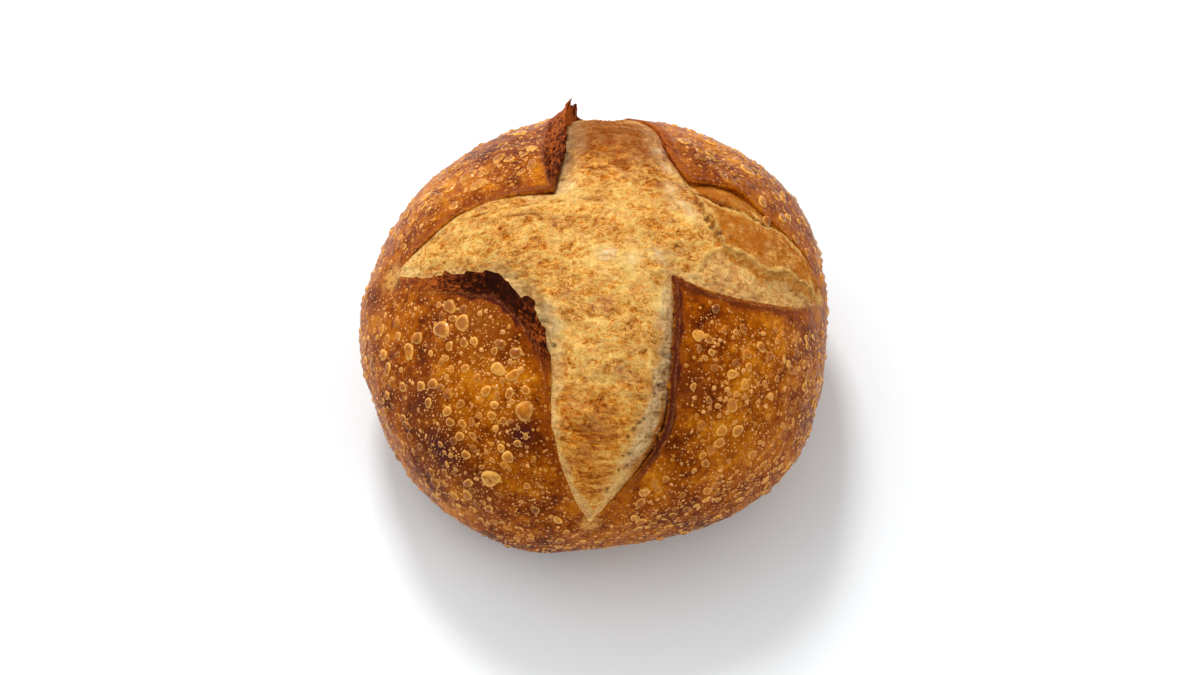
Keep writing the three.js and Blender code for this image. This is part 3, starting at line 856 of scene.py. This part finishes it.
def makeBlisters(name, skin, radii, segments, rings):
    dome, domeFaces = unitDome(segments, rings)
    count, radius = len(skin), radii[:, None]
    turn = rng.random((count, 1)) * 2 * math.pi
    stretch = np.exp(blisters["stretch"] * rng.standard_normal((count, 1)))
    tint = rng.random((count, 1))
    x, y = dome[:, 0] * stretch, dome[:, 1] / stretch
    bearing = np.arctan2(y, x)
    twos, threes = blisters["wobble"]
    wobble = 1 + twos * np.sin(2 * bearing + 3 * turn) + threes * np.sin(3 * bearing - 2 * turn)
    x, y = x * wobble, y * wobble
    turned = np.stack([x * np.cos(turn) - y * np.sin(turn), x * np.sin(turn) + y * np.cos(turn)], -1)
    at = skin[:, None] + skinOffsets(skin, radius[..., None] * turned)

    out = np.minimum(dome[:, 0] ** 2 + dome[:, 1] ** 2, 1)
    rise = np.broadcast_to(1 - out, (count, len(dome)))
    collapsed = smooth(radius, *blisters["collapsedFrom"]) * smooth(tint, 0.3, 0.6)
    shape = rise ** 1.15 * (1 - 0.6 * collapsed * np.exp(-out / 0.3))
    gap, near = nearLip(at)
    height = crustHeight(at, gap, near) - blisters["sink"]
    fullness = blisters["heightFrom"] + 0.5 * rng.random((count, 1))
    height = height + shape * radius * blisters["height"] * fullness
    height = height + 0.05 * radius * rise * noiseAt(bodyPoint(at), 0.9, 2)
    values = {"rise": rise, "under": 0 * rise, "tint": tint, "size": radius, **toneValues(at, gap, near)}

    faces = [tuple(start + corner for corner in face)
             for start in range(0, count * len(dome), len(dome)) for face in domeFaces]
    mesh = bpy.data.meshes.new(name)
    mesh.from_pydata((raised(at, height).reshape(-1, 3) * mm).tolist(), [], faces)
    addValues(mesh, values, rise.shape)
    piece = bpy.data.objects.new(name, mesh)
    bpy.context.scene.collection.objects.link(piece)
    editMode(piece)
    faceOut()
    bpy.ops.object.shade_smooth_by_angle(angle=math.radians(70))
    print(name, count, "triangles", triangles(mesh))
    return piece


def makeAllBlisters(skinPlaces, areas, clear):
    skin, radii = chooseBlisters(skinPlaces, areas, clear)
    pieces = []
    for name, smallest, largest, segments, rings in blisters["kinds"]:
        kind = (radii >= smallest) & (radii < largest)
        pieces.append(makeBlisters("loaf_blisters_" + name, skin[kind], radii[kind], segments, rings))
    return pieces


def rgb(red, green, blue):  # a screen colour, 0 to 255, as the linear colour that a socket takes
    share = np.array([red, green, blue]) / 255
    linear = np.where(share <= 0.04045, share / 12.92, ((share + 0.055) / 1.055) ** 2.4)
    return (*linear.tolist(), 1.0)


class Wire:  # a node's output, worked with as a number, a place or a colour
    def __init__(self, tree, socket):
        self.tree, self.socket = tree, socket

    def node(self, kind, settings, sockets, output=0):
        made = self.tree.nodes.new(kind)
        for key, value in settings.items():
            if key == "stops":
                ramp = made.color_ramp
                while len(ramp.elements) < len(value):
                    ramp.elements.new(0.5)
                for element, (position, color) in zip(ramp.elements, value):
                    element.position, element.color = position, color
            else:
                setattr(made, key, value)
        for key, value in sockets.items():
            socket = made.inputs[key]
            if isinstance(value, Wire):
                self.tree.links.new(value.socket, socket)
            else:
                socket.default_value = value
        return Wire(self.tree, made.outputs[output])

    def maths(self, operation, a, b=0.0, clamp=False):
        return self.node("ShaderNodeMath", {"operation": operation, "use_clamp": clamp}, {0: a, 1: b})

    def __add__(self, other):
        return self.maths("ADD", self, other)

    def __radd__(self, other):
        return self.maths("ADD", other, self)

    def __sub__(self, other):
        return self.maths("SUBTRACT", self, other)

    def __rsub__(self, other):
        return self.maths("SUBTRACT", other, self)

    def __mul__(self, other):
        return self.maths("MULTIPLY", self, other)

    def __rmul__(self, other):
        return self.maths("MULTIPLY", other, self)

    def __truediv__(self, other):
        return self.maths("DIVIDE", self, other)

    def __rtruediv__(self, other):
        return self.maths("DIVIDE", other, self)

    def larger(self, other):
        return self.maths("MAXIMUM", self, other)

    def clamped(self):
        return self.maths("ADD", self, 0.0, clamp=True)

    def between(self, low, high):  # 0 at low, 1 at high, eased
        return self.node("ShaderNodeMapRange", {"interpolation_type": "SMOOTHSTEP"},
                         {"Value": self, "From Min": low, "From Max": high})

    def near(self, level, thickness):  # 1 at the level, 0 from the thickness away
        off = self - level
        return 1 - off.maths("ABSOLUTE", off).between(0.0, thickness)

    def noise(self, width, detail, roughness, warp):
        return self.node("ShaderNodeTexNoise", {}, {"Vector": self, "Scale": 1 / width, "Detail": detail,
                                                   "Roughness": roughness, "Distortion": warp})

    def cells(self, width, output):
        return self.node("ShaderNodeTexVoronoi", {}, {"Vector": self, "Scale": 1 / width}, output)

    def vector(self, operation, factors):
        return self.node("ShaderNodeVectorMath", {"operation": operation}, {0: self, 1: factors})

    def attributes(self, *names):
        return [self.node("ShaderNodeAttribute", {"attribute_name": name}, {}, "Fac") for name in names]

    def mixed(self, other, share, blend="MIX"):  # colours
        return self.node("ShaderNodeMix", {"data_type": "RGBA", "blend_type": blend},
                         {"Factor": share, 6: self, 7: other}, 2)

    def layered(self, *layers):  # each layer's colour over what is there, by its share
        color = self
        for tint, share in layers:
            color = color.mixed(tint, share)
        return color

    def ramp(self, finish, key):
        stops = [(position, finish[color]) for position, color in finish[key]]
        return self.node("ShaderNodeValToRGB", {"stops": stops}, {"Fac": self})


def newMaterial(name):
    material = bpy.data.materials.new(name)
    material.use_nodes = True
    tree = material.node_tree
    place = Wire(tree, None).node("ShaderNodeTexCoord", {}, {}, "Object")
    return material, tree.nodes["Principled BSDF"], place


def noisesAt(place, finish):
    return (place.vector("MULTIPLY", (stretch, 1.0, 1.0)).noise(width, detail, roughness, warp)
            for stretch, width, detail, roughness, warp in finish["noises"].values())


def finishMaterial(shader, finish, color, heights, wires):
    shader.inputs["Specular IOR Level"].default_value = finish["gloss"]
    shader.inputs["Specular Tint"].default_value = finish["glossTint"]
    shader.inputs["Roughness"].default_value = finish["roughness"]
    normal = None
    for distance, height in zip(finish["reliefs"], heights):
        sockets = {"Height": height, "Distance": distance, "Strength": 1.0}
        if normal:
            sockets["Normal"] = normal
        normal = color.node("ShaderNodeBump", {}, sockets)
    for name, wire in {"Base Color": color, "Normal": normal, **wires}.items():
        color.tree.links.new(wire.socket, shader.inputs[name])


def plainMaterial(name, color, roughness):
    material, shader, _ = newMaterial(name)
    shader.inputs["Base Color"].default_value = color
    shader.inputs["Roughness"].default_value = roughness
    return material


crustFinish = {
    "umber": rgb(80, 28, 4),
    "russet": rgb(122, 52, 3),
    "amber": rgb(160, 82, 4),
    "golden": rgb(206, 126, 18),
    "tan": rgb(234, 170, 78),
    "pinkTan": rgb(232, 164, 96),
    "purple": rgb(72, 26, 22),
    "char": rgb(38, 12, 6),
    "burnt": rgb(84, 26, 8),
    "tipTan": rgb(206, 150, 76),
    "reddish": rgb(138, 62, 12),
    "tornBrown": rgb(176, 88, 32),
    # a highlight painted along the crest of a lip
    "crestHighlight": rgb(196, 122, 66),
    "baseBrown": rgb(150, 92, 44),
    "flour": rgb(226, 200, 160),
    "skinRamp": [(0.33, "umber"), (0.43, "russet"), (0.53, "amber"), (0.68, "golden")],
    "faceRamp": [(0.3, "char"), (0.46, "burnt"), (0.66, "tornBrown")],
    "noises": {  # stretch along x, width in metres, detail, roughness, warp
        "broad": (1, 0.030, 2, 0.5, 0),
        "middle": (1, 0.008, 3, 0.6, 0),
        "fine": (1, 0.0024, 4, 0.65, 0),
    },
    "streaks": (0.0007, 3, 0.7, 1),
    "streakStretch": 0.3,
    "smallDots": (0.0017, 0.05, 0.42, 0.013),  # width, smallest and largest radius over it, shift
    "wideDots": (0.0036, 0.02, 0.34, 0.041),
    "reliefs": (0.0007, 0.00025, 0.0005, 0.0006),  # metres: grain, small dots, wide dots, torn faces
    "roughness": 0.36,
    "gloss": 0.05,
    "glossTint": (1.0, 0.66, 0.24, 1.0),
    "blisterCoat": 0.36,
    "dotCoat": 0.08,
    "coatRoughness": 0.09,
}


def dotField(place, width, smallest, largest, shift):  # dots of many sizes: how far out of each, and its dome
    moved = place.vector("ADD", (shift, shift * 0.7, shift * 1.3))
    out = moved.cells(width, "Distance") / (smallest + (largest - smallest) * moved.cells(width, "Color"))
    dome = 1 - out * out
    return out, dome.larger(0.0)


def crustMaterial():
    c = crustFinish
    material, shader, place = newMaterial("crust")
    broad, middle, fine = noisesAt(place, c)
    rise, tint, size, dark, gold, low, under = place.attributes(
        "rise", "tint", "size", "dark", "gold", "low", "under")
    face, rim, edge, burn, inside, atTip, run, gap = place.attributes(
        "face", "rim", "edge", "burn", "inside", "atTip", "run", "gap")

    tone = 0.484 + 0.42 * (broad - 0.5) + 0.48 * (middle - 0.5) + 0.36 * (fine - 0.5)
    tone = tone + 0.05 * gold - 0.15 * dark * middle.between(0.35, 0.6) - 0.095 * low
    color = tone.ramp(c, "skinRamp")
    color = color.mixed(c["purple"], dark * (middle * 0.5 + fine * 0.5).between(0.36, 0.54) * 0.9)

    # dots too small to be modelled, clear of the torn faces and of the modelled blisters
    onDome = rise.between(0.0, 0.02)
    onSkin = (1 - face) * (1 - inside)
    smallOut, smallDot = dotField(place, *c["smallDots"])
    wideOut, wideDot = dotField(place, *c["wideDots"])
    inSmall = (1 - smallOut.between(0.6, 1.1)) * onSkin * (1 - 0.6 * onDome)
    inWide = (1 - wideOut.between(0.8, 1.1)) * onSkin * (1 - onDome)
    color = color.layered(
        (c["pinkTan"], inSmall * 0.7),
        (c["golden"], inWide * 0.6),
        (c["tan"], wideOut.between(0.4, 0.8) * inWide * 0.65))

    # modelled blisters: amber inside, painted shade round the foot, pale round the edge, or pale all over
    patchy = fine.between(0.36, 0.56)
    paleRing = rise.between(0.04, 0.2) * (1 - rise.between(0.3, 0.8)) * (0.4 + 0.6 * patchy)
    amberShare = onDome * rise.between(0.02, 0.2) * (0.1 + 0.4 * tint) * (0.3 + 1.2 * middle)
    tinyDome = onDome * (1 - size.between(0.9, 2.0))
    color = color.layered(
        (c["golden"], amberShare.clamped()),
        # a dark outline round each blister's foot, which also paints the shade where it meets the crust
        (c["russet"], onDome * (1 - rise.between(0.02, 0.09)) * size.between(0.8, 1.6) * 0.5),
        (c["tan"], (paleRing * (0.3 + 0.65 * tint.between(0.05, 0.6))).clamped()),
        (c["tan"], (onDome * tint.between(0.78, 0.95) * rise.between(0.0, 0.3) * patchy * 0.6).clamped()),
        (c["pinkTan"], (tinyDome * rise.between(0.1, 0.7) * (0.25 + 0.7 * tint)).clamped()))

    # burnt edges, torn faces with streaks along the lip, a painted highlight along their rims' crests, and
    # the floury base
    lipPlace = place.node("ShaderNodeCombineXYZ", {}, {"X": run * c["streakStretch"], "Y": gap})
    streak = lipPlace.noise(*c["streaks"])
    faceTone = 0.72 + 1.2 * (streak - 0.5) + 0.5 * (middle - 0.5) + 0.6 * (fine - 0.5) - burn * 0.32
    color = color.layered(
        (c["reddish"], (burn * (1.8 * middle + 1.8 * fine - 0.4)).clamped() * 0.8),
        (c["burnt"], (burn.between(0.35, 1.0) * (1.6 * middle + 1.6 * fine - 0.3)).clamped() * 0.92),
        (c["purple"], (burn.between(0.6, 1.0) * (1 - face) * (2 * middle + 2 * fine - 1.1)).clamped() * 0.7),
        (c["tipTan"], atTip * fine.between(0.3, 0.55) * 0.85),
        (faceTone.ramp(c, "faceRamp"), face),
        (c["crestHighlight"], rim * 0.6 * streak.between(0.46, 0.6)),
        (c["golden"], edge * 0.6 * fine.between(0.42, 0.6)),
        (c["baseBrown"], under),
        (c["flour"], under * (middle * 0.6 + fine * 0.4).between(0.46, 0.66) * 0.55))

    heights = [
        middle * 0.7 + fine * 0.5,
        smallDot * onSkin,
        wideDot * onSkin * (1 - onDome),
        (streak + fine * 0.6) * (0.1 + 1.3 * face),
    ]
    roughness = c["roughness"] + 0.35 * face + 0.2 * inside + 0.3 * (fine - 0.5) - 0.1 * onDome + 0.4 * under
    shader.inputs["Coat Roughness"].default_value = c["coatRoughness"]
    coat = onDome * c["blisterCoat"] + inWide * c["dotCoat"]
    finishMaterial(shader, c, color, heights, {"Roughness": roughness, "Coat Weight": coat})
    return material


crumbFinish = {
    "pale": rgb(255, 211, 122),
    "cream": rgb(247, 181, 90),
    "golden": rgb(234, 158, 62),
    "orange": rgb(216, 130, 34),
    "brown": rgb(188, 100, 14),
    "darkBrown": rgb(146, 68, 6),
    "bareCream": rgb(242, 204, 146),
    "mauve": rgb(216, 150, 100),
    "amberTint": (1.0, 0.84, 0.42, 1.0),
    "milky": rgb(250, 224, 178),
    "shelfGold": rgb(188, 100, 2),
    "torn": rgb(140, 62, 12),
    "shade": rgb(152, 96, 42),
    # painted shade in the pores
    "dark": rgb(100, 56, 22),
    "toastRamp": [(0.0, "pale"), (0.25, "cream"), (0.4, "golden"), (0.56, "orange"), (0.8, "brown"),
                  (1.0, "darkBrown")],
    "noises": {  # stretch along x, width in metres, detail, roughness, warp
        "broad": (1, 0.020, 2, 0.5, 0),
        "patches": (0.7, 0.012, 3, 0.6, 1),
        "mauve": (1, 0.009, 3, 0.6, 0),
        "amber": (0.8, 0.0065, 3, 0.65, 0.6),
        "middle": (1, 0.0055, 3, 0.6, 0),
        "veins": (0.6, 0.0048, 4, 0.65, 1.6),
        "curls": (0.8, 0.0034, 3, 0.6, 2.4),
        "bands": (0.12, 0.0026, 3, 0.6, 0.5),
        "strokes": (0.6, 0.0024, 3, 0.65, 1.6),
        "ripples": (0.2, 0.0024, 2, 0.6, 0.8),
        "wisps": (0.9, 0.0019, 2, 0.6, 3),
        "ribs": (0.25, 0.0015, 3, 0.65, 0),
        "shreds": (0.65, 0.0012, 2, 0.6, 2.2),
        "speck": (1, 0.0008, 2, 0.7, 0),
    },
    "reliefs": (0.00045, 0.0004, 0.0002),  # metres: strokes, curls, shreds
    "roughness": 0.6,
    "gloss": 0.05,
    "glossTint": (1.0, 0.7, 0.3, 1.0),
}


def crumbMaterial():
    c = crumbFinish
    material, shader, place = newMaterial("crumb")
    (broad, patches, mauve, amber, middle, veins, curls, bands, strokes, ripples, wisps, ribs, shreds,
     speck) = noisesAt(place, c)
    bare, deep, groove, sill, south, north, atTip, toasted, milky = place.attributes(
        "bare", "deep", "groove", "sill", "south", "north", "atTip", "toasted", "milky")
    shelf, valley, brink, shelfEdge, crack, fringe = place.attributes(
        "shelf", "valley", "brink", "shelfEdge", "crack", "fringe")
    ripple, pore, crease, strand = place.attributes("ripple", "pore", "crease", "strand")

    calm = 1 - 0.1 * shelf
    curlLines, wispLines = curls.near(0.5, 0.05), wisps.near(0.48, 0.06)
    # pale threads in the colour, with the raised strands painted pale as a highlight
    threadsAndHighlights = (curlLines * 0.6 + veins.near(0.5, 0.03) * 0.75 + wispLines * 0.5) * calm + strand * 0.7

    # how toasted it is: the ends of the long arm are, and its noises are weaker there
    even = 1 - 0.4 * south - 0.3 * north
    toast = 0.63 + 0.56 * north + 0.14 * shelf + 0.05 * atTip + 0.3 * toasted + 0.9 * (broad - 0.5)
    toast = toast + even * (1.1 * (patches - 0.5) + 1.3 * (middle - 0.5) + 0.5 * (speck - 0.5))
    stroked = (1.5 + 0.6 * valley) * (strokes - 0.5) + 1.4 * (curls - 0.5) + 0.9 * (shreds - 0.5)
    toast = toast + even * calm * stroked
    toast = toast + (0.1 + 0.6 * south) * calm * (ripples - 0.5) + 1.3 * south * (bands - 0.5)
    toast = toast - 0.12 * bare - 0.3 * threadsAndHighlights + 0.13 * valley
    color = toast.ramp(c, "toastRamp")
    color = color.mixed(c["mauve"], mauve.between(0.52, 0.66) * 0.4 * calm * (1 - 0.5 * bare))
    amberShare = amber.between(0.5, 0.62) * (1 - bare) * 0.5 + toasted.between(0.2, 1.0) * 0.4
    amberShare = amberShare + south * 0.3 + north * 0.45
    color = color.mixed(c["amberTint"], amberShare.clamped(), "MULTIPLY")

    # pale threads, partly a painted highlight on the raised strands, and pale spots, then the shelf
    color = color.layered(
        (c["pale"], threadsAndHighlights.between(0.35, 1.0) * 0.6 * (1 - 0.7 * north) * (1 - 0.7 * south)),
        (c["milky"], milky * strokes.between(0.35, 0.6) * 0.8),
        (c["shelfGold"], shelf * middle.between(0.32, 0.6) * 0.68),
        (c["brown"], shelf * patches.between(0.46, 0.6) * 0.4))

    # bare crumb beside the lips: cream, ribbed pale and dark in the deep groove, orange where it starts
    beforeBare = bare.between(0.05, 0.3) * (1 - bare.between(0.45, 0.8)) * deep.between(0.0, 0.1)
    inDeep = bare * (0.05 + 0.15 * groove + 0.9 * deep)
    shadow = ribs.between(0.53, 0.61) * inDeep * 0.6 + ripple.between(0.3, 1.0) * 0.28 * deep
    color = color.layered(
        (c["bareCream"], bare * (0.25 + 0.4 * groove.larger(deep))),
        (c["orange"], beforeBare * strokes.between(0.4, 0.55) * 0.5),
        (c["milky"], ((1 - ribs.between(0.40, 0.48)) * inDeep * 0.8).clamped()),
        (c["shade"], shadow.clamped()))

    # the edges of the steps, painted warm light below the shelf and in the valley, the creases, the sill and
    # painted shade in the pores
    overBrink = strokes.between(0.36, 0.5) * 0.85
    # painted warm light on the shaded slope below the shelf, and warm bounce light painted in the valley
    paintedWarmLight = brink * overBrink + valley * strokes.between(0.56, 0.66) * 0.6
    color = color.layered(
        (c["pale"], fringe * overBrink),
        (c["orange"], paintedWarmLight.clamped()),
        (c["torn"], (crack * 1.3 + shelfEdge).clamped() * strokes.between(0.3, 0.5) * 0.85),
        (c["torn"], crease * 0.75),
        (c["orange"], sill * strokes.between(0.25, 0.5) * 0.85),
        (c["brown"], sill.between(0.75, 1.0) * strokes.between(0.35, 0.6) * 0.6),
        # painted shade in the pores
        (c["dark"], pore * 0.75))

    heights = [
        middle * 0.4 + strokes * 0.6 * calm + ripples * 0.4 * (0.1 + south),
        calm * (curls * 0.6 + curlLines * 0.4 + wispLines * 0.3),
        shreds * calm + speck * 0.5,
    ]
    finishMaterial(shader, c, color, heights, {})
    return material


def middleOf(places):
    return (places.min(0) + places.max(0)) / 2


# The solid's origin is under the middle of its box, so the skin's is brought there by where their feet are.
cadFoot = np.array([v.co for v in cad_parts["loaf"].data.vertices if v.co.z < 1e-5]) / mm
around = np.linspace(-math.pi, math.pi, 721)
ownFoot = bodyPoint(skinToFoot * np.stack([np.cos(around), np.sin(around)], 1))
shift = (middleOf(cadFoot) - middleOf(ownFoot)) * (1, 1, 0)
print("shift", shift)

crust, placed = makeCrust()
crumb = makeCrumb()
domes = makeAllBlisters(*placed)

crustLook, crumbLook = crustMaterial(), crumbMaterial()
for piece, look in ((crust, crustLook), (crumb, crumbLook), *((dome, crustLook) for dome in domes)):
    piece.data.transform(Matrix.Translation(Vector(shift * mm)))
    piece.data.materials.clear()
    piece.data.materials.append(look)
    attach(piece, "root")
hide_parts("loaf")
print("materials", [look.name for look in (crustLook, crumbLook)])

studio = {
    "floorSize": 12,
    "floorColor": rgb(236, 239, 241),
    "floorRoughness": 0.9,
    "worldStrength": 0.64,
    "lights": {  # place, power, size
        "key": ((-1.8, 1.25, 1.8), 46, 3.8),
        "spark": ((-0.4, 1.5, 1.9), 32, 0.5),
        "fill": ((1.7, -1.3, 1.6), 12, 1.4),
    },
}


def makeFloor():
    bpy.ops.object.select_all(action="DESELECT")
    bpy.ops.mesh.primitive_plane_add(size=studio["floorSize"], location=(0, 0, 0))
    floor = bpy.context.object
    floor.name = "floor"
    floor.data.materials.append(plainMaterial("floor", studio["floorColor"], studio["floorRoughness"]))


def makeLight(name, place, power, size):
    bpy.ops.object.light_add(type="AREA", location=place)
    light = bpy.context.object
    light.name = name
    light.data.energy = power
    light.data.size = size
    light.rotation_euler = (-Vector(place)).to_track_quat("-Z", "Y").to_euler()


def makeWorld():
    world = bpy.data.worlds.new("studio")
    bpy.context.scene.world = world
    world.use_nodes = True
    background = world.node_tree.nodes["Background"].inputs
    background["Color"].default_value = (1, 1, 1, 1)
    background["Strength"].default_value = studio["worldStrength"]
    bpy.context.scene.view_settings.view_transform = "Standard"


makeFloor()
for name, (place, power, size) in studio["lights"].items():
    makeLight(name, place, power, size)
makeWorld()
print("stage", ["floor", *studio["lights"]])

view = {"lens": 85, "elevation": 60, "distance": 1.3151, "aim": (0.00141, -0.0103, 0.06)}


def makeCamera():
    aim = Vector(view["aim"]) + Vector(shift * mm)
    elevation = math.radians(view["elevation"])
    away = view["distance"] * Vector((0, -math.cos(elevation), math.sin(elevation)))
    bpy.ops.object.camera_add(location=aim + away)
    camera = bpy.context.object
    camera.rotation_euler = (math.pi / 2 - elevation, 0, 0)
    camera.data.lens = view["lens"]
    bpy.context.scene.camera = camera


makeCamera()
